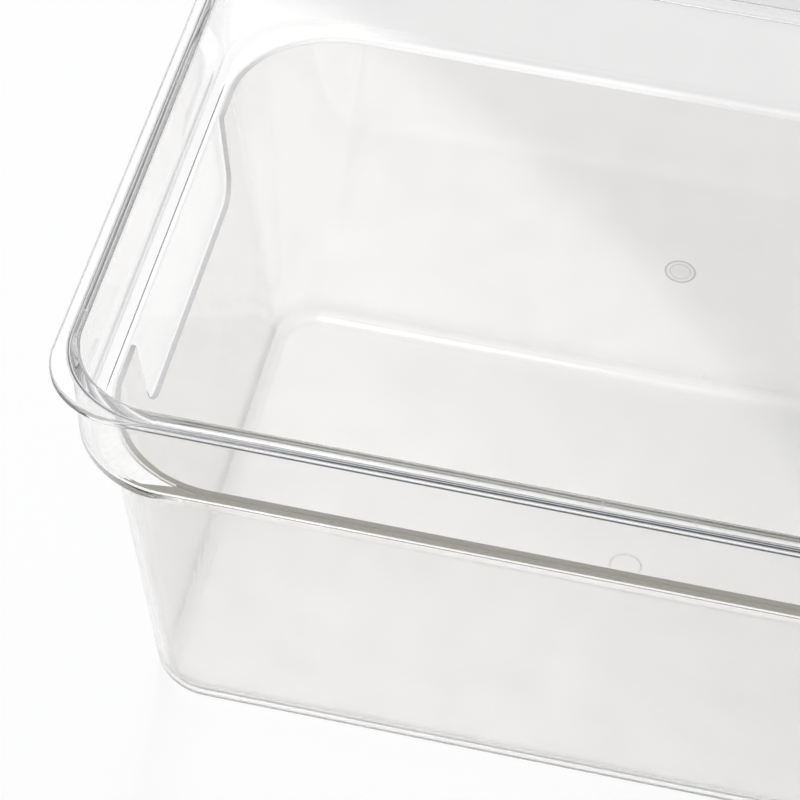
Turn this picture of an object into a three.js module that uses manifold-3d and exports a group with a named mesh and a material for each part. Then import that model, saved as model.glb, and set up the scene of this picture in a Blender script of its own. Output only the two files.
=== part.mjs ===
// A clear desktop storage box: a moulded outer box with a lipped neck and tapered walls,
// and a thin clear liner that stands inside it and lifts straight out.
// Millimetres, +Z up, X along the long side, origin at the middle of the underside.
import * as THREE from 'three';
import { mergeVertices } from 'three/addons/utils/BufferGeometryUtils.js';
import Module from 'manifold-3d';

const wasm = await Module();
wasm.setup();

// Outer box: overall size and lip
const RIM_LENGTH = 291;
const RIM_WIDTH = 202;
const HEIGHT = 132.5;
const LIP_WIDTH = 5.7;
const LIP_HEIGHT = 2.2;
const LIP_ROUND = 0.7;
const LIP_ROOT_ROUND = 1.8;

// Outer box: walls, neck and shoulder
const WALL = 2.4;
const FLOOR = 2.4;
const NECK_DEPTH = 30;
const NECK_TAPER = 0.5;
const LEDGE = 3.8;
const LEDGE_ROOT_ROUND = 2.4;
const LEDGE_EDGE_ROUND = 0.8;
const SHOULDER_ROUND = 3.4;
const SHOULDER_ROOT_ROUND = 0.5;
const BODY_TAPER = 14.8;
const FLOOR_EDGE_ROUND = 4;

// Plan corner radii: the lip's outer face, then the inner face from the rim down to the floor
const LIP_CORNER = 21;
const RIM_CORNER = 23;
const NECK_FOOT_CORNER = 26;
const LEDGE_CORNER = 33;
const FLOOR_CORNER = 14;

// Round moulding mark under the floor
const GATE_DIAMETER = 9.6;
const GATE_DEPTH = 0.6;

// Liner and the notch in each of its short ends
const LINER_WALL = 1.4;
const LINER_FLOOR = 1.4;
const LINER_CLEARANCE = 0.3;
const LINER_BELOW_LEDGE = 0.2;
const LINER_EDGE_ROUND = 0.3;
const NOTCH_WIDTH = 90;
const NOTCH_FLARE = 1.5;
const NOTCH_DEPTH = 25.5;
const NOTCH_CORNER = 8;

// Mesh fineness
const CORNER_STEPS = 9;
const FOOT_STEPS = 5;
const ROUND_STEPS = 3;
const NOTCH_STEPS = 8;
const GATE_SIDES = 32;

const ledgeZ = HEIGHT - NECK_DEPTH;
const neckFootInset = LIP_WIDTH + NECK_TAPER;
const bodyTopInset = neckFootInset + LEDGE;
const lean = Math.atan2(BODY_TAPER, ledgeZ - FLOOR);

const clearPlastic = { color: 0xeceeee, roughness: 0.06, metalness: 0, transparent: true };
const boxMaterial = new THREE.MeshStandardMaterial({ ...clearPlastic, opacity: 0.35 });
const linerMaterial = new THREE.MeshStandardMaterial({ ...clearPlastic, opacity: 0.25 });

// Inner face of the neck, and the body's leaning face shifted outwards by a thickness
function neckInset(z) {
  return LIP_WIDTH + NECK_TAPER * (HEIGHT - z) / NECK_DEPTH;
}

function bodyInset(z, outward) {
  const inner = bodyTopInset + (ledgeZ - z) * Math.tan(lean);
  return inner - outward / Math.cos(lean);
}

// A section point carries its inset from the lip's outer face, its height and its plan corner radius.
// The corner follows the inner face: a point further out has a larger radius round the same centre.
function neckPoint(inset, z) {
  const corner = THREE.MathUtils.mapLinear(z, HEIGHT, ledgeZ, RIM_CORNER, NECK_FOOT_CORNER);
  return { inset, z, corner: corner + neckInset(z) - inset };
}

function lipPoint(inset, z) {
  return { inset, z, corner: THREE.MathUtils.mapLinear(inset, 0, LIP_WIDTH, LIP_CORNER, RIM_CORNER) };
}

function bodyPoint(inset, z) {
  const corner = THREE.MathUtils.mapLinear(z, ledgeZ, FLOOR, LEDGE_CORNER, FLOOR_CORNER);
  return { inset, z, corner: corner + bodyInset(z, 0) - inset };
}

function arc(makePoint, inset, z, radius, from, to, steps) {
  const points = [];
  for (let step = 0; step <= steps; step += 1) {
    const angle = from + (to - from) * step / steps;
    points.push(makePoint(inset + radius * Math.cos(angle), z + radius * Math.sin(angle)));
  }
  return points;
}

// Rounding between a leaning body face and a floor, from the face down to the floor
function footArc(outward, floorZ, radius) {
  const z = floorZ + radius;
  const inset = bodyInset(z, outward) + radius / Math.cos(lean);
  return arc(bodyPoint, inset, z, radius, Math.PI + lean, 1.5 * Math.PI, FOOT_STEPS);
}

// Closed solid from a section: each point is a rounded rectangle, and the first and last are capped
function ring({ inset, z, corner }) {
  const cx = RIM_LENGTH / 2 - inset - corner;
  const cy = RIM_WIDTH / 2 - inset - corner;
  const points = [];
  [[cx, cy], [-cx, cy], [-cx, -cy], [cx, -cy]].forEach(([x, y], quarter) => {
    for (let step = 0; step <= CORNER_STEPS; step += 1) {
      const angle = (quarter + step / CORNER_STEPS) * Math.PI / 2;
      points.push([x + corner * Math.cos(angle), y + corner * Math.sin(angle), z]);
    }
  });
  return points;
}

function loft(section) {
  const rings = section.map(ring);
  const count = rings[0].length;
  const last = (rings.length - 1) * count;
  const index = [];
  for (let level = 0; level < rings.length - 1; level += 1) {
    for (let k = 0; k < count; k += 1) {
      const a = level * count + k;
      const b = level * count + (k + 1) % count;
      index.push(a, b, b + count, a, b + count, a + count);
    }
  }
  for (let k = 1; k < count - 1; k += 1) {
    index.push(0, k + 1, k);
    index.push(last, last + k, last + k + 1);
  }
  const geometry = new THREE.BufferGeometry();
  geometry.setAttribute('position', new THREE.Float32BufferAttribute(rings.flat(2), 3));
  geometry.setIndex(index);
  return geometry;
}

// Cutting one closed shape out of another
function toSolid(geometry) {
  const bare = geometry.clone();
  bare.deleteAttribute('normal');
  bare.deleteAttribute('uv');
  const merged = mergeVertices(bare);
  const vertProperties = new Float32Array(merged.attributes.position.array);
  const triVerts = new Uint32Array(merged.index.array);
  return new wasm.Manifold(new wasm.Mesh({ numProp: 3, vertProperties, triVerts }));
}

function cut(geometry, tool) {
  const mesh = toSolid(geometry).subtract(toSolid(tool)).getMesh();
  const result = new THREE.BufferGeometry();
  result.setAttribute('position', new THREE.Float32BufferAttribute(mesh.vertProperties, 3));
  result.setIndex(Array.from(mesh.triVerts));
  return result;
}

// Outer face from the underside up to the lip
function boxOutside() {
  const shoulderZ = ledgeZ - WALL;
  const rootInset = bodyInset(shoulderZ, WALL);
  const neckOuter = neckInset(shoulderZ) - WALL;
  const lipFoot = HEIGHT - LIP_HEIGHT;
  const lipRoot = neckInset(lipFoot) - WALL;
  const lipRootRound = Math.min(LIP_ROOT_ROUND, lipRoot - LIP_ROUND);
  const shoulderRound = Math.min(SHOULDER_ROUND, rootInset - SHOULDER_ROOT_ROUND - neckOuter);
  return [
    ...footArc(WALL, 0, FLOOR_EDGE_ROUND + FLOOR).reverse(),
    ...arc(bodyPoint, rootInset - SHOULDER_ROOT_ROUND, shoulderZ - SHOULDER_ROOT_ROUND,
      SHOULDER_ROOT_ROUND, -lean, Math.PI / 2, ROUND_STEPS),
    ...arc(neckPoint, neckOuter + shoulderRound, shoulderZ + shoulderRound,
      shoulderRound, 1.5 * Math.PI, Math.PI, FOOT_STEPS),
    ...arc(neckPoint, lipRoot - lipRootRound, lipFoot - lipRootRound,
      lipRootRound, 0, Math.PI / 2, ROUND_STEPS),
    ...arc(lipPoint, LIP_ROUND, lipFoot + LIP_ROUND, LIP_ROUND, 1.5 * Math.PI, Math.PI, ROUND_STEPS),
    ...arc(lipPoint, LIP_ROUND, HEIGHT - LIP_ROUND, LIP_ROUND, Math.PI, Math.PI / 2, ROUND_STEPS),
  ];
}

// Inner face from the top of the lip down to the floor
function boxInside() {
  const rootRound = Math.min(LEDGE_ROOT_ROUND, LEDGE - LEDGE_EDGE_ROUND);
  return [
    ...arc(lipPoint, LIP_WIDTH - LIP_ROUND, HEIGHT - LIP_ROUND, LIP_ROUND, Math.PI / 2, 0, ROUND_STEPS),
    ...arc(neckPoint, neckFootInset + rootRound, ledgeZ + rootRound,
      rootRound, Math.PI, 1.5 * Math.PI, ROUND_STEPS),
    ...arc(bodyPoint, bodyTopInset - LEDGE_EDGE_ROUND, ledgeZ - LEDGE_EDGE_ROUND,
      LEDGE_EDGE_ROUND, Math.PI / 2, lean, ROUND_STEPS),
    ...footArc(0, FLOOR, FLOOR_EDGE_ROUND),
  ];
}

function outerBox() {
  const shell = loft([...boxOutside(), ...boxInside()]);
  const mark = new THREE.CylinderGeometry(GATE_DIAMETER / 2, GATE_DIAMETER / 2, 2 * GATE_DEPTH, GATE_SIDES);
  mark.rotateX(Math.PI / 2);
  return cut(shell, mark);
}

// The liner follows the box's inner faces at a clearance and stands on its floor
function linerShell() {
  const outerGap = -LINER_CLEARANCE;
  const innerGap = outerGap - LINER_WALL;
  const top = ledgeZ - LINER_BELOW_LEDGE;
  const edge = LINER_EDGE_ROUND;
  const outerEdge = bodyInset(top - edge, outerGap) + edge;
  const innerEdge = bodyInset(top - edge, innerGap) - edge;
  const footRadius = FLOOR_EDGE_ROUND + LINER_CLEARANCE;
  return loft([
    ...footArc(outerGap, FLOOR, footRadius).reverse(),
    ...arc(bodyPoint, outerEdge, top - edge, edge, Math.PI, Math.PI / 2, ROUND_STEPS),
    ...arc(bodyPoint, innerEdge, top - edge, edge, Math.PI / 2, 0, ROUND_STEPS),
    ...footArc(innerGap, FLOOR + LINER_FLOOR, footRadius),
  ]);
}

// One prism along X takes the same notch out of both short ends
function notchPrism() {
  const top = ledgeZ - LINER_BELOW_LEDGE;
  const bottom = top - NOTCH_DEPTH;
  const above = top + NOTCH_DEPTH;
  const half = NOTCH_WIDTH / 2;
  const flareAbove = NOTCH_FLARE * (above - bottom) / NOTCH_DEPTH;
  const outline = new THREE.Shape();
  outline.moveTo(-half - flareAbove, above);
  outline.lineTo(-half, bottom + NOTCH_CORNER);
  outline.absarc(-half + NOTCH_CORNER, bottom + NOTCH_CORNER, NOTCH_CORNER, Math.PI, 1.5 * Math.PI);
  outline.absarc(half - NOTCH_CORNER, bottom + NOTCH_CORNER, NOTCH_CORNER, 1.5 * Math.PI, 2 * Math.PI);
  outline.lineTo(half + flareAbove, above);
  outline.closePath();
  const options = { depth: RIM_LENGTH, bevelEnabled: false, curveSegments: NOTCH_STEPS };
  const prism = new THREE.ExtrudeGeometry(outline, options);
  prism.translate(0, 0, -RIM_LENGTH / 2);
  prism.applyMatrix4(new THREE.Matrix4().makeBasis(
    new THREE.Vector3(0, 1, 0), new THREE.Vector3(0, 0, 1), new THREE.Vector3(1, 0, 0)));
  return prism;
}

function innerLiner() {
  return cut(linerShell(), notchPrism());
}

function part(name, geometry, material) {
  const mesh = new THREE.Mesh(geometry, material);
  mesh.name = name;
  return mesh;
}

const storageBox = new THREE.Group();
storageBox.add(part('outer_box', outerBox(), boxMaterial));
storageBox.add(part('lift_out_liner', innerLiner(), linerMaterial));

export default storageBox;
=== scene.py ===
import math

import bpy
from mathutils import Matrix, Vector


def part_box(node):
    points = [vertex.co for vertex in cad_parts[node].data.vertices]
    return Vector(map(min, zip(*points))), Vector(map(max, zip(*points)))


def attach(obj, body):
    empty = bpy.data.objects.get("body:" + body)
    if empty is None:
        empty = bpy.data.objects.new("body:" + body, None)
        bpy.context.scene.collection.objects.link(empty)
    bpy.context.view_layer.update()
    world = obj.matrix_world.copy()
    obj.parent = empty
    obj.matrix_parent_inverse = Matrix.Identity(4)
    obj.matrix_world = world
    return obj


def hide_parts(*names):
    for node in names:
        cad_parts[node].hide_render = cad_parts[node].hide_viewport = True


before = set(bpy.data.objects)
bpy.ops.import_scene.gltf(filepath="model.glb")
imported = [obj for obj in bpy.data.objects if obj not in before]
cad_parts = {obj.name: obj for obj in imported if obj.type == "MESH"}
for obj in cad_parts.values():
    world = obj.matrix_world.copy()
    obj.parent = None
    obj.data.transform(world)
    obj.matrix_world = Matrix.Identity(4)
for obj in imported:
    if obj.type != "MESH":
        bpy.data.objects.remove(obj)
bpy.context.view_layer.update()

MM = 0.001

# Overall size, from the frame, in millimetres
rim_low, rim_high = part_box("outer_box")
HALF_LENGTH = (rim_high.x - rim_low.x) / 2 / MM
HALF_WIDTH = (rim_high.y - rim_low.y) / 2 / MM
HEIGHT = rim_high.z / MM

# Box sizes in millimetres
LIP_WIDTH = 5.7
LIP_HEIGHT = 2.2
LIP_ROUND = 0.7
LIP_ROOT_ROUND = 1.8
WALL = 2.4
FLOOR = 2.4
NECK_DEPTH = 30
NECK_TAPER = 0.5
LEDGE = 3.8
LEDGE_ROOT_ROUND = 2.4
LEDGE_EDGE_ROUND = 0.8
SHOULDER_ROUND = 3.4
SHOULDER_ROOT_ROUND = 0.5
BODY_TAPER = 14.8
FLOOR_EDGE_ROUND = 4
LIP_CORNER = 21
RIM_CORNER = 23
NECK_FOOT_CORNER = 26
LEDGE_CORNER = 33
FLOOR_CORNER = 14
MARK_DIAMETER = 9.6
MARK_DEPTH = 0.6
MARK_EDGE = 0.5
MARK_SHOULDER = 0.8

# Liner sizes in millimetres
LINER_WALL = 1.4
LINER_FLOOR = 1.4
LINER_CLEARANCE = 0.3
LINER_BELOW_LEDGE = 0.2
LINER_EDGE_ROUND = 0.12
LINER_SKIRT = 0.9
LINER_SEAT_GAP = 0.15
NOTCH_WIDTH = 90
NOTCH_FLARE = 1.5
NOTCH_DEPTH = 25.5
NOTCH_CORNER = 8

# Mesh fineness
CORNER_STEPS = 28
FOOT_STEPS = 12
ROUND_STEPS = 6
SIDE_STEPS = 6
NOTCH_STEPS = 14
FLAT_WEIGHT = 100

# Camera at the photograph's viewpoint
CAMERA_PLACE = Vector((8.5, -551.3, 634.3)) * MM
CAMERA_HEADING = math.radians(8.14)
CAMERA_TILT = math.radians(43.70)
CAMERA_ROLL = math.radians(4.84)
CAMERA_LENS = 129.0
SENSOR = 36.0

# Plastic: tint from clean to hazy spots, hairlines along the pull of the mould, soft waves and a duller floor
TINT_ENDS = (0.35, 0.7)
TINT_CLEAN = (0.947, 0.943, 0.936)
TINT_HAZY = (0.936, 0.931, 0.923)
IOR = 1.49
ABSORB_COLOUR = (0.785, 0.795, 0.81)
ABSORB_DENSITY = 12
SHADOW_TINT = (0.985, 0.985, 0.985)
SMEAR_SCALE = 60
SMEAR_DETAIL = 4
HAZE_ENDS = (0.3, 0.8)
HAZE_ROUGH = (0.02, 0.05)
HAIRLINE_SCALE = (700, 700, 25)
HAIRLINE_DETAIL = 2
HAIRLINE_ENDS = (0.68, 0.78)
HAIRLINE_ROUGH = 0.12
HAIRLINE_BUMP = {"Strength": 0.1, "Distance": 0.02 * MM}
WAVE_SCALE = 18
WAVE_DETAIL = 1
WAVE_BUMP = {"Strength": 0.15, "Distance": 0.4 * MM}
FLOOR_HAZE = 0.15
FLOOR_HAZE_ENDS = (8 * MM, 11 * MM)

# Painted reflection: a faint ring on the outside of the far wall, standing in for the floor's round mark seen
# mirrored there
RING_PLACE = Vector((-0.6, 83.4, 41.7)) * MM
RING_HALF = Vector((4.9, 1, 4.1)) * MM
RING_STOPS = ((0.0, 0.85), (0.54, 0.85), (0.62, 0.6), (0.7, 0.85), (0.82, 0.85), (0.92, 0.3), (1.0, 1.0))

# Edges of the ledge and the liner: painted light, a glow and a tone by place along Y (darker olive on the
# near side, pale or grey further back), standing in for light carried in the plastic coming out
PALE = (0.6, 0.6, 0.6)
OLIVE = (0.175, 0.168, 0.142)
GREY = (0.39, 0.39, 0.395)
FAINT = (0.84, 0.84, 0.84)
LEDGE_STOPS = ((0.0, PALE), (1.0, PALE))
LEDGE_EDGE_STOPS = ((0.06, OLIVE), (0.12, PALE))
LINER_STOPS = ((0.06, OLIVE), (0.16, GREY), (0.84, GREY), (0.94, PALE))
NOTCH_STOPS = ((0.0, FAINT), (1.0, FAINT))
LEDGE_PAINTED_GLOW = 0.9
LINER_PAINTED_GLOW = 0.8
GRAIN_SCALE = 900
GRAIN_DETAIL = 3
GRAIN_TONES = (0.85, 1.15)
GRAIN_ROUGH = (0.4, 0.6)

# Stage: lamps as name, place, direction of the long edge, size in metres, watts, and shown in gloss or not
FLOOR_SIZE = 8
FLOOR_GAP = 0.3 * MM
FLOOR_COLOUR = (0.88, 0.88, 0.88)
FLOOR_ROUGH = 0.12
FLOOR_GLOW_DIRECT = 0.285
FLOOR_GLOW_THROUGH = 0.31
FLOOR_GLOW_GLOSSY = 0.1
LAMPS = (
    ("back_box", (-0.46, 0.92, 1.355), (0.686, -0.651, 0.326), (1.4, 0.9), 4.7, True),
    ("front_box", (-0.461, -1.452, 0.89), (0.764, 0.572, 0.295), (1.4, 0.8), 3.6, True),
    ("top_box", (0, -0.1, 1.7), (1, 0, 0), (3, 3), 16, False),
)
PATCH_EDGE_AT = (-0.031, 0.158)
PATCH_EDGE_ALONG = (0.724, -0.69)
PATCH_SIDE = 1.2
PATCH_HEIGHT = 2.5
PATCH_POWER = 49
PATCH_BLEND = 0.05
PATCH_SOFT = 0.01
ROOM_STOPS = ((0.25, (0.17, 0.16, 0.14)), (0.75, (0.04, 0.05, 0.08)))
ROOM_LOW_STOPS = ((0.15, (0.28, 0.28, 0.28)), (0.4, (0, 0, 0)))
ROOM_SEEN = (1, 1, 1, 1)
BOUNCES = 24

ledge_z = HEIGHT - NECK_DEPTH
neck_foot_inset = LIP_WIDTH + NECK_TAPER
body_top_inset = neck_foot_inset + LEDGE
lean = math.atan2(BODY_TAPER, ledge_z - FLOOR)


def between(value, from_low, from_high, to_low, to_high):
    return to_low + (value - from_low) / (from_high - from_low) * (to_high - to_low)


# Faces of the neck and the body, as insets from the lip's outer face
def neck_inset(z):
    return LIP_WIDTH + NECK_TAPER * (HEIGHT - z) / NECK_DEPTH


def body_inset(z, outward):
    return body_top_inset + (ledge_z - z) * math.tan(lean) - outward / math.cos(lean)


# A section point is (inset, z, plan corner radius)
def lip_point(inset, z):
    return inset, z, between(inset, 0, LIP_WIDTH, LIP_CORNER, RIM_CORNER)


def neck_point(inset, z):
    corner = between(z, HEIGHT, ledge_z, RIM_CORNER, NECK_FOOT_CORNER)
    return inset, z, corner + neck_inset(z) - inset


def body_point(inset, z):
    corner = between(z, ledge_z, FLOOR, LEDGE_CORNER, FLOOR_CORNER)
    return inset, z, corner + body_inset(z, 0) - inset


def arc(make_point, inset, z, radius, start, end, steps):
    angles = [start + (end - start) * k / steps for k in range(steps + 1)]
    return [make_point(inset + radius * math.cos(a), z + radius * math.sin(a)) for a in angles]


def foot_arc(outward, floor_z, radius):
    """Rounding between a leaning face and a floor, from the face down to the floor."""
    z = floor_z + radius
    inset = body_inset(z, outward) + radius / math.cos(lean)
    return arc(body_point, inset, z, radius, math.pi + lean, 1.5 * math.pi, FOOT_STEPS)


# Columns run round the plan: a corner column turns by an angle, a side column keeps its place
def corner_columns(quarter):
    sx, sy = ((1, 1), (-1, 1), (-1, -1), (1, -1))[quarter]
    turns = [(quarter + k / CORNER_STEPS) * math.pi / 2 for k in range(CORNER_STEPS + 1)]
    return [{"corner": (sx, sy), "angle": turn} for turn in turns]


def side_columns(normal, places):
    return [{"side": normal, "along": along} for along in places]


def even_places(half):
    return [half * (1 - 2 * (k + 1) / (SIDE_STEPS + 1)) for k in range(SIDE_STEPS)]


def place(column, inset, z, corner):
    reach_x = HALF_LENGTH - inset
    reach_y = HALF_WIDTH - inset
    if "corner" in column:
        sx, sy = column["corner"]
        angle = column["angle"]
        x = sx * (reach_x - corner) + corner * math.cos(angle)
        y = sy * (reach_y - corner) + corner * math.sin(angle)
        return x, y, z
    nx, ny = column["side"]
    along = column["along"]
    return nx * reach_x + abs(ny) * along, ny * reach_y + abs(nx) * along, z


def box_columns():
    long_places = even_places(HALF_LENGTH - LEDGE_CORNER - body_top_inset)
    short_places = even_places(HALF_WIDTH - LEDGE_CORNER - body_top_inset)
    return (corner_columns(0) + side_columns((0, 1), long_places)
            + corner_columns(1) + side_columns((-1, 0), short_places)
            + corner_columns(2) + side_columns((0, -1), long_places[::-1])
            + corner_columns(3) + side_columns((1, 0), short_places[::-1]))


def loft_mesh(name, rings):
    """Closed mesh from rings of equal length, with the first and last ring capped."""
    count = len(rings[0])
    verts = [Vector(point) * MM for ring in rings for point in ring]
    faces = [tuple(range(count))[::-1], tuple(range(len(verts) - count, len(verts)))]
    for level in range(len(rings) - 1):
        for k in range(count):
            a = level * count + k
            b = level * count + (k + 1) % count
            faces.append((a, b, b + count, a + count))
    mesh = bpy.data.meshes.new(name)
    mesh.from_pydata(verts, [], faces)
    mesh.validate()
    mesh.shade_smooth()
    piece = bpy.data.objects.new(name, mesh)
    bpy.context.scene.collection.objects.link(piece)
    keep_flats = piece.modifiers.new("keep_flats", "WEIGHTED_NORMAL")
    keep_flats.weight = FLAT_WEIGHT
    return piece


# Outer box
def box_outside():
    shoulder_z = ledge_z - WALL
    root_inset = body_inset(shoulder_z, WALL)
    neck_outer = neck_inset(shoulder_z) - WALL
    lip_foot = HEIGHT - LIP_HEIGHT
    lip_root = neck_inset(lip_foot) - WALL
    return (foot_arc(WALL, 0, FLOOR_EDGE_ROUND + FLOOR)[::-1]
            + arc(body_point, root_inset - SHOULDER_ROOT_ROUND, shoulder_z - SHOULDER_ROOT_ROUND,
                  SHOULDER_ROOT_ROUND, -lean, math.pi / 2, ROUND_STEPS)
            + arc(neck_point, neck_outer + SHOULDER_ROUND, shoulder_z + SHOULDER_ROUND,
                  SHOULDER_ROUND, 1.5 * math.pi, math.pi, FOOT_STEPS)
            + arc(neck_point, lip_root - LIP_ROOT_ROUND, lip_foot - LIP_ROOT_ROUND,
                  LIP_ROOT_ROUND, 0, math.pi / 2, ROUND_STEPS)
            + arc(lip_point, LIP_ROUND, lip_foot + LIP_ROUND, LIP_ROUND, 1.5 * math.pi, math.pi, ROUND_STEPS)
            + arc(lip_point, LIP_ROUND, HEIGHT - LIP_ROUND, LIP_ROUND, math.pi, math.pi / 2, ROUND_STEPS))


def box_inside():
    return (arc(lip_point, LIP_WIDTH - LIP_ROUND, HEIGHT - LIP_ROUND, LIP_ROUND, math.pi / 2, 0, ROUND_STEPS)
            + arc(neck_point, neck_foot_inset + LEDGE_ROOT_ROUND, ledge_z + LEDGE_ROOT_ROUND,
                  LEDGE_ROOT_ROUND, math.pi, 1.5 * math.pi, ROUND_STEPS)
            + arc(body_point, body_top_inset - LEDGE_EDGE_ROUND, ledge_z - LEDGE_EDGE_ROUND,
                  LEDGE_EDGE_ROUND, math.pi / 2, lean, ROUND_STEPS)
            + foot_arc(0, FLOOR, FLOOR_EDGE_ROUND))


def mark_rings(first_ring):
    """Shallow round recess in the middle of the underside, on the same columns as the ring outside it."""
    turns = [math.atan2(y, x) for x, y, _ in first_ring]
    radius = MARK_DIAMETER / 2
    steps = ((radius - MARK_EDGE, MARK_DEPTH),
             (radius - MARK_EDGE / 2, MARK_DEPTH * MARK_SHOULDER),
             (radius, 0))
    return [[(r * math.cos(a), r * math.sin(a), z) for a in turns] for r, z in steps]


def paint_ledge_glow(piece, columns, levels_below):
    """The ledge's flat takes the second material, with a pale painted glow, and its inner edge and its near
    side the third, with a painted darker olive shade on the near side.
    """
    flat = 2 + (levels_below + 2 * ROUND_STEPS + 1) * columns
    edge = flat + columns
    near = (body_top_inset - HALF_WIDTH) * MM
    for face in piece.data.polygons[flat - ROUND_STEPS // 2 * columns:edge + ROUND_STEPS * columns]:
        # painted shade: faces on the near side take the darker olive material
        if face.index >= edge or face.center.y < near:
            face.material_index = 2
        elif face.index >= flat:
            face.material_index = 1


def make_box():
    columns = box_columns()
    outside = box_outside()
    rings = [[place(column, *point) for column in columns] for point in outside + box_inside()]
    mark = mark_rings(rings[0])
    piece = loft_mesh("clear_box", mark + rings)
    paint_ledge_glow(piece, len(columns), len(mark) + len(outside))
    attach(piece, "box")
    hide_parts("outer_box")
    return piece


# Liner
def notch_outline():
    """Top edge across one short end as (along, drop, up direction), from side to side of the notch."""
    half = NOTCH_WIDTH / 2
    slope = math.atan2(NOTCH_FLARE, NOTCH_DEPTH - NOTCH_CORNER)
    points = [(half + NOTCH_FLARE, 0, (-math.sqrt(0.5), math.sqrt(0.5)))]
    for k in range(NOTCH_STEPS + 1):
        turn = between(k, 0, NOTCH_STEPS, slope, math.pi / 2)
        along = half - NOTCH_CORNER + NOTCH_CORNER * math.cos(turn)
        drop = NOTCH_DEPTH - NOTCH_CORNER + NOTCH_CORNER * math.sin(turn)
        points.append((along, drop, (-math.cos(turn), math.sin(turn))))
    mirrored = [(-along, drop, (-up[0], up[1])) for along, drop, up in points[::-1]]
    return points + mirrored


def notch_columns(side):
    columns = []
    for along, drop, up in notch_outline():
        columns.append({"side": (side, 0), "along": along, "drop": drop, "up": up})
    return columns if side < 0 else columns[::-1]


def liner_columns():
    long_places = even_places(HALF_LENGTH - LEDGE_CORNER - body_top_inset)
    return (corner_columns(0) + side_columns((0, 1), long_places)
            + corner_columns(1) + notch_columns(-1)
            + corner_columns(2) + side_columns((0, -1), long_places[::-1])
            + corner_columns(3) + notch_columns(1))


def edge_ring(columns, across, below):
    """One ring of the liner's rounded top edge: across is measured inwards from its outer face."""
    top = ledge_z - LINER_BELOW_LEDGE
    ring = []
    for column in columns:
        sideways, upward = column.get("up", (0, 1))
        z = top - column.get("drop", 0) - below * upward
        moved = dict(column)
        if "along" in moved:
            moved["along"] = column["along"] - below * sideways
        inset = body_inset(z, -LINER_CLEARANCE - across)
        ring.append(place(moved, *body_point(inset, z)))
    return ring


def liner_rings(columns):
    edge = LINER_EDGE_ROUND
    foot = FLOOR_EDGE_ROUND + LINER_CLEARANCE
    outer_foot = foot_arc(-LINER_CLEARANCE, FLOOR + LINER_SEAT_GAP, foot)[::-1]
    inner_foot = foot_arc(-LINER_CLEARANCE - LINER_WALL, FLOOR + LINER_FLOOR, foot)
    rings = [[place(column, *point) for column in columns] for point in outer_foot]
    rings.append(edge_ring(columns, 0, edge + LINER_SKIRT))
    turns = [math.pi / 2 * k / ROUND_STEPS for k in range(ROUND_STEPS + 1)]
    for turn in turns:
        rings.append(edge_ring(columns, edge * (1 - math.cos(turn)), edge * (1 - math.sin(turn))))
    for turn in turns[::-1]:
        across = LINER_WALL - edge * (1 - math.cos(turn))
        rings.append(edge_ring(columns, across, edge * (1 - math.sin(turn))))
    return rings + [[place(column, *point) for column in columns] for point in inner_foot]


def paint_liner_edge_glow(piece, columns):
    """The liner's top edge takes the second material, with the skirt below it on the near side: a painted
    glow, darker olive on the near side. The near upright edges of the notches take the third, with a faint
    painted glow."""
    count = len(columns)
    skirt = 2 + (FOOT_STEPS + 1) * count
    first = skirt + count
    last = first + (2 * ROUND_STEPS + 1) * count
    near = (body_top_inset + LINER_CLEARANCE + LINER_WALL - HALF_WIDTH) * MM
    for face in piece.data.polygons[skirt:last]:
        a = columns[(face.index - 2) % count]
        b = columns[(face.index - 1) % count]
        upright = "drop" in a and "drop" in b and abs(a["drop"] - b["drop"]) > NOTCH_CORNER
        # painted light and shade: these faces take the glowing materials toned by place along Y
        if face.index >= first:
            face.material_index = 2 if upright and a["along"] < 0 else 1
        elif face.center.y < near:
            face.material_index = 1


def make_liner():
    columns = liner_columns()
    piece = loft_mesh("clear_liner", liner_rings(columns))
    paint_liner_edge_glow(piece, columns)
    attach(piece, "liner")
    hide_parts("lift_out_liner")
    return piece


# Materials
def link(tree, from_node, from_socket, to_node, to_socket):
    tree.links.new(from_node.outputs[from_socket], to_node.inputs[to_socket])


def add_node(tree, kind, values):
    node = tree.nodes.new("ShaderNode" + kind)
    for socket, value in values.items():
        node.inputs[socket].default_value = value
    return node


def add_math(tree, operation, values):
    node = add_node(tree, "Math", values)
    node.operation = operation
    return node


def add_noise(tree, scale, detail):
    spot = tree.nodes.new("ShaderNodeTexCoord")
    noise = add_node(tree, "TexNoise", {"Scale": scale, "Detail": detail})
    link(tree, spot, "Object", noise, "Vector")
    return noise


def add_place(tree):
    """X, Y and Z of each spot in the piece's own frame."""
    spot = tree.nodes.new("ShaderNodeTexCoord")
    part = tree.nodes.new("ShaderNodeSeparateXYZ")
    link(tree, spot, "Object", part, "Vector")
    return part


def add_range(tree, source, socket, from_ends, to_ends):
    values = {"From Min": from_ends[0], "From Max": from_ends[1], "To Min": to_ends[0], "To Max": to_ends[1]}
    node = add_node(tree, "MapRange", values)
    link(tree, source, socket, node, "Value")
    return node


def add_ramp(tree, stops):
    node = tree.nodes.new("ShaderNodeValToRGB")
    elements = node.color_ramp.elements
    while len(elements) < len(stops):
        elements.new(1)
    for element, (spot, tone) in zip(elements, stops):
        element.position = spot
        element.color = (*tone, 1)
    return node


def new_material(name):
    material = bpy.data.materials.new(name)
    material.use_nodes = True
    return material, material.node_tree, material.node_tree.nodes["Principled BSDF"]


def add_mix(tree, blend, factor, first, second):
    """Mix of two colour sockets by a factor socket."""
    node = tree.nodes.new("ShaderNodeMix")
    node.data_type = "RGBA"
    node.blend_type = blend
    colours = [socket for socket in node.inputs if socket.type == "RGBA"]
    tree.links.new(factor, node.inputs["Factor"])
    tree.links.new(first, colours[0])
    tree.links.new(second, colours[1])
    return next(socket for socket in node.outputs if socket.type == "RGBA")


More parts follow.
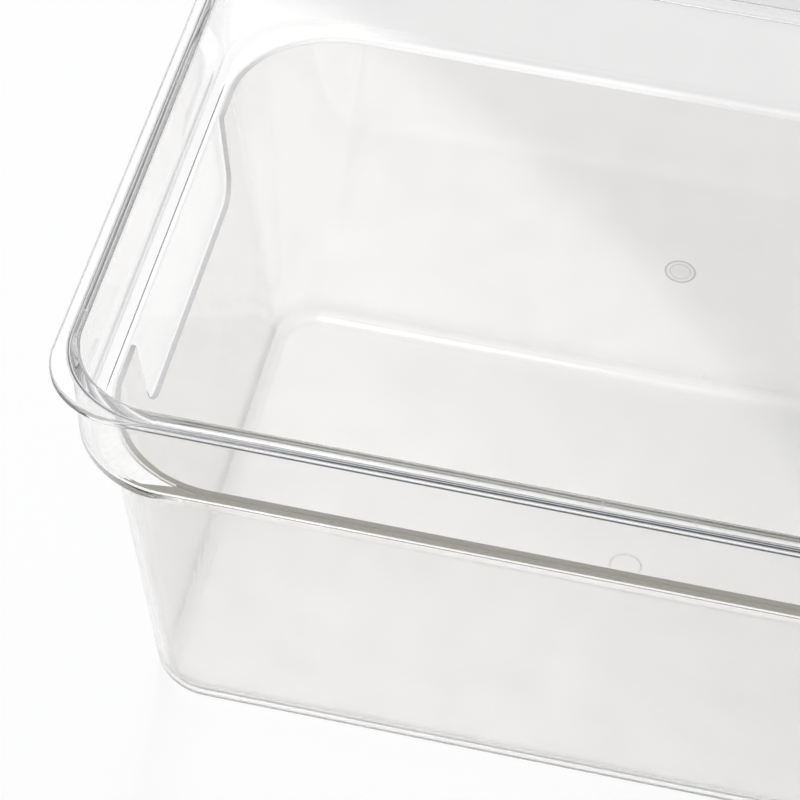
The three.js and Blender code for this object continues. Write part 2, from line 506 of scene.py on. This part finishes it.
def plastic_tint(tree, smear):
    """Colour that changes a little between clean and hazy spots."""
    clean, hazy = TINT_ENDS
    tint = add_ramp(tree, ((clean, TINT_CLEAN), (hazy, TINT_HAZY)))
    link(tree, smear, "Fac", tint, "Fac")
    return tint.outputs["Color"]


def painted_mark_reflection(tree, tint):
    """The same colour with a painted reflection of the floor's round mark, as a faint ring on the outside of
    the far wall.
    """
    spot = tree.nodes.new("ShaderNodeTexCoord")
    moved = add_node(tree, "Mapping", {"Location": RING_PLACE, "Scale": RING_HALF})
    moved.vector_type = "TEXTURE"
    link(tree, spot, "Object", moved, "Vector")
    part = tree.nodes.new("ShaderNodeSeparateXYZ")
    link(tree, moved, "Vector", part, "Vector")
    flat = tree.nodes.new("ShaderNodeCombineXYZ")
    link(tree, part, "X", flat, "X")
    link(tree, part, "Z", flat, "Z")
    radius = tree.nodes.new("ShaderNodeVectorMath")
    radius.operation = "LENGTH"
    link(tree, flat, "Vector", radius, "Vector")
    ring = add_ramp(tree, [(spot_at, (tone, tone, tone)) for spot_at, tone in RING_STOPS])
    link(tree, radius, "Value", ring, "Fac")
    outside = add_math(tree, "GREATER_THAN", {1: 0})
    link(tree, part, "Y", outside, 0)
    return add_mix(tree, "MULTIPLY", outside.outputs["Value"], tint, ring.outputs["Color"])


def hairlines(tree):
    """Sparse hairline scratches, drawn out along Z."""
    spot = tree.nodes.new("ShaderNodeTexCoord")
    drawn = add_node(tree, "Mapping", {"Scale": HAIRLINE_SCALE})
    link(tree, spot, "Object", drawn, "Vector")
    noise = add_node(tree, "TexNoise", {"Scale": 1, "Detail": HAIRLINE_DETAIL})
    link(tree, drawn, "Vector", noise, "Vector")
    return add_range(tree, noise, "Fac", HAIRLINE_ENDS, (0, 1))


def plastic_rough(tree, smear, lines):
    """Smooth walls with hazy spots and hairlines, and a duller floor."""
    haze = add_range(tree, smear, "Fac", HAZE_ENDS, HAZE_ROUGH)
    walls = add_math(tree, "MULTIPLY_ADD", {1: HAIRLINE_ROUGH})
    link(tree, lines, "Result", walls, 0)
    link(tree, haze, "Result", walls, 2)
    dull = add_range(tree, add_place(tree), "Z", FLOOR_HAZE_ENDS, (FLOOR_HAZE, 0))
    rough = add_math(tree, "ADD", {})
    link(tree, walls, "Value", rough, 0)
    link(tree, dull, "Result", rough, 1)
    return rough


def plastic_bump(tree, lines):
    """Soft waves with the hairlines on top."""
    wave = add_noise(tree, WAVE_SCALE, WAVE_DETAIL)
    soft = add_node(tree, "Bump", WAVE_BUMP)
    link(tree, wave, "Fac", soft, "Height")
    fine = add_node(tree, "Bump", HAIRLINE_BUMP)
    link(tree, lines, "Result", fine, "Height")
    link(tree, soft, "Normal", fine, "Normal")
    return fine


def let_lamps_through(tree, shader, out):
    """Lamp light on its way to the floor goes straight through, so the plastic keeps a faint shadow."""
    path = tree.nodes.new("ShaderNodeLightPath")
    through = add_node(tree, "BsdfTransparent", {"Color": (*SHADOW_TINT, 1)})
    mix = tree.nodes.new("ShaderNodeMixShader")
    link(tree, path, "Is Shadow Ray", mix, "Fac")
    link(tree, shader, "BSDF", mix, 1)
    link(tree, through, "BSDF", mix, 2)
    link(tree, mix, "Shader", out, "Surface")


def clear_plastic(name, with_mark_reflection):
    material, tree, shader = new_material(name)
    out = tree.nodes["Material Output"]
    shader.inputs["Transmission Weight"].default_value = 1
    shader.inputs["IOR"].default_value = IOR
    smear = add_noise(tree, SMEAR_SCALE, SMEAR_DETAIL)
    tint = plastic_tint(tree, smear)
    # painted reflection of the floor's round mark, on the box only
    tree.links.new(painted_mark_reflection(tree, tint) if with_mark_reflection else tint, shader.inputs["Base Color"])
    lines = hairlines(tree)
    link(tree, plastic_rough(tree, smear, lines), "Value", shader, "Roughness")
    link(tree, plastic_bump(tree, lines), "Normal", shader, "Normal")
    absorb = add_node(tree, "VolumeAbsorption", {"Color": (*ABSORB_COLOUR, 1), "Density": ABSORB_DENSITY})
    link(tree, absorb, "Volume", out, "Volume")
    let_lamps_through(tree, shader, out)
    return material


def painted_glow_edge(name, stops, glow):
    """Matt edge with a fine grain and a painted glow, with painted light and shade by its place along Y."""
    material, tree, shader = new_material(name)
    # painted glow: the edge gives off light, though it is no lamp
    shader.inputs["Emission Strength"].default_value = glow
    shader.inputs["IOR"].default_value = IOR
    along = add_range(tree, add_place(tree), "Y", (-HALF_WIDTH * MM, HALF_WIDTH * MM), (0, 1))
    ramp = add_ramp(tree, stops)
    link(tree, along, "Result", ramp, "Fac")
    grain = add_noise(tree, GRAIN_SCALE, GRAIN_DETAIL)
    speck = add_range(tree, grain, "Fac", (0, 1), GRAIN_TONES)
    # painted light and shade: the tone by place along Y colours both the surface and its glow
    tone = tree.nodes.new("ShaderNodeVectorMath")
    tone.operation = "SCALE"
    link(tree, ramp, "Color", tone, "Vector")
    link(tree, speck, "Result", tone, "Scale")
    link(tree, tone, "Vector", shader, "Base Color")
    link(tree, tone, "Vector", shader, "Emission Color")
    rough = add_range(tree, grain, "Fac", (0, 1), GRAIN_ROUGH)
    link(tree, rough, "Result", shader, "Roughness")
    let_lamps_through(tree, shader, tree.nodes["Material Output"])
    return material


def paint_pieces(box, liner):
    """Light that the floor scatters passes the pieces too, as lamp light does."""
    for piece in (box, liner):
        piece.visible_diffuse = False
    for material in (clear_plastic("box_plastic", True),
                     painted_glow_edge("box_ledge", LEDGE_STOPS, LEDGE_PAINTED_GLOW),
                     painted_glow_edge("box_ledge_edge", LEDGE_EDGE_STOPS, LEDGE_PAINTED_GLOW)):
        box.data.materials.append(material)
    for material in (clear_plastic("liner_plastic", False),
                     painted_glow_edge("liner_edge", LINER_STOPS, LINER_PAINTED_GLOW),
                     painted_glow_edge("liner_notch_edge", NOTCH_STOPS, LINER_PAINTED_GLOW)):
        liner.data.materials.append(material)


# Stage
def make_floor():
    bpy.ops.mesh.primitive_plane_add(size=FLOOR_SIZE, location=(0, 0, -FLOOR_GAP))
    floor = bpy.context.object
    floor.name = "floor"
    material, tree, paint = new_material("pale_floor")
    paint.inputs["Base Color"].default_value = (*FLOOR_COLOUR, 1)
    paint.inputs["Roughness"].default_value = FLOOR_ROUGH
    path = tree.nodes.new("ShaderNodeLightPath")
    mirrored = add_math(tree, "MULTIPLY", {1: FLOOR_GLOW_GLOSSY})
    link(tree, path, "Is Glossy Ray", mirrored, 0)
    through = add_math(tree, "MULTIPLY_ADD", {1: FLOOR_GLOW_THROUGH})
    link(tree, path, "Is Transmission Ray", through, 0)
    link(tree, mirrored, 0, through, 2)
    level = add_math(tree, "MULTIPLY_ADD", {1: FLOOR_GLOW_DIRECT})
    link(tree, path, "Is Camera Ray", level, 0)
    link(tree, through, 0, level, 2)
    paint.inputs["Emission Color"].default_value = (1, 1, 1, 1)
    link(tree, level, 0, paint, "Emission Strength")
    floor.data.materials.append(material)


def make_lamp(name, place_at, edge, size, power, shown):
    """Rectangular lamp aimed at the origin, with its length along the edge direction."""
    data = bpy.data.lights.new(name, "AREA")
    data.shape = "RECTANGLE"
    data.size, data.size_y = size
    data.energy = power
    lamp = bpy.data.objects.new(name, data)
    back = Vector(place_at).normalized()
    across = (Vector(edge) - Vector(edge).dot(back) * back).normalized()
    up = back.cross(across)
    turn = Matrix((across, up, back)).transposed().to_4x4()
    lamp.matrix_world = Matrix.Translation(place_at) @ turn
    lamp.visible_glossy = shown
    bpy.context.scene.collection.objects.link(lamp)


def make_patch():
    """Square lamp overhead: one edge of its patch of light crosses the floor behind the box."""
    data = bpy.data.lights.new("patch", "SPOT")
    data.use_square = True
    data.spot_size = 2 * math.atan2(PATCH_SIDE / 2, PATCH_HEIGHT)
    data.spot_blend = PATCH_BLEND
    data.shadow_soft_size = PATCH_SOFT
    data.use_shadow = False
    data.energy = PATCH_POWER
    lamp = bpy.data.objects.new("patch", data)
    along = Vector((*PATCH_EDGE_ALONG, 0)).normalized()
    inward = Vector((along.y, -along.x, 0))
    middle = Vector((*PATCH_EDGE_AT, PATCH_HEIGHT)) + inward * PATCH_SIDE / 2
    turn = Matrix((along, -inward, Vector((0, 0, 1)))).transposed().to_4x4()
    lamp.matrix_world = Matrix.Translation(middle) @ turn
    bpy.context.scene.collection.objects.link(lamp)


def make_world():
    """Dim room, warmer in front than behind, paler near the horizon, and white where the camera sees it."""
    world = bpy.data.worlds.new("studio")
    world.use_nodes = True
    tree = world.node_tree
    spot = tree.nodes.new("ShaderNodeTexCoord")
    part = tree.nodes.new("ShaderNodeSeparateXYZ")
    link(tree, spot, "Generated", part, "Vector")
    depth = add_range(tree, part, "Y", (-1, 1), (0, 1))
    room = add_ramp(tree, ROOM_STOPS)
    link(tree, depth, "Result", room, "Fac")
    low = add_ramp(tree, ROOM_LOW_STOPS)
    link(tree, part, "Z", low, "Fac")
    both = tree.nodes.new("ShaderNodeVectorMath")
    link(tree, room, "Color", both, 0)
    link(tree, low, "Color", both, 1)
    path = tree.nodes.new("ShaderNodeLightPath")
    seen = add_node(tree, "Background", {"Color": ROOM_SEEN})
    dim = tree.nodes["Background"]
    link(tree, both, "Vector", dim, "Color")
    mix = tree.nodes.new("ShaderNodeMixShader")
    link(tree, path, "Is Camera Ray", mix, "Fac")
    link(tree, dim, "Background", mix, 1)
    link(tree, seen, "Background", mix, 2)
    link(tree, mix, "Shader", tree.nodes["World Output"], "Surface")
    bpy.context.scene.world = world


def make_camera():
    data = bpy.data.cameras.new("camera")
    data.sensor_width = SENSOR
    data.lens = CAMERA_LENS
    camera = bpy.data.objects.new("camera", data)
    turn = (Matrix.Rotation(CAMERA_HEADING, 4, "Z") @ Matrix.Rotation(CAMERA_TILT, 4, "X")
            @ Matrix.Rotation(CAMERA_ROLL, 4, "Z"))
    camera.matrix_world = Matrix.Translation(CAMERA_PLACE) @ turn
    bpy.context.scene.collection.objects.link(camera)
    bpy.context.scene.camera = camera


make_camera()
paint_pieces(make_box(), make_liner())
make_floor()
make_world()
for lamp_values in LAMPS:
    make_lamp(*lamp_values)
make_patch()

scene = bpy.context.scene
scene.view_settings.view_transform = "Standard"
scene.cycles.max_bounces = BOUNCES
scene.cycles.transmission_bounces = BOUNCES
scene.cycles.glossy_bounces = BOUNCES
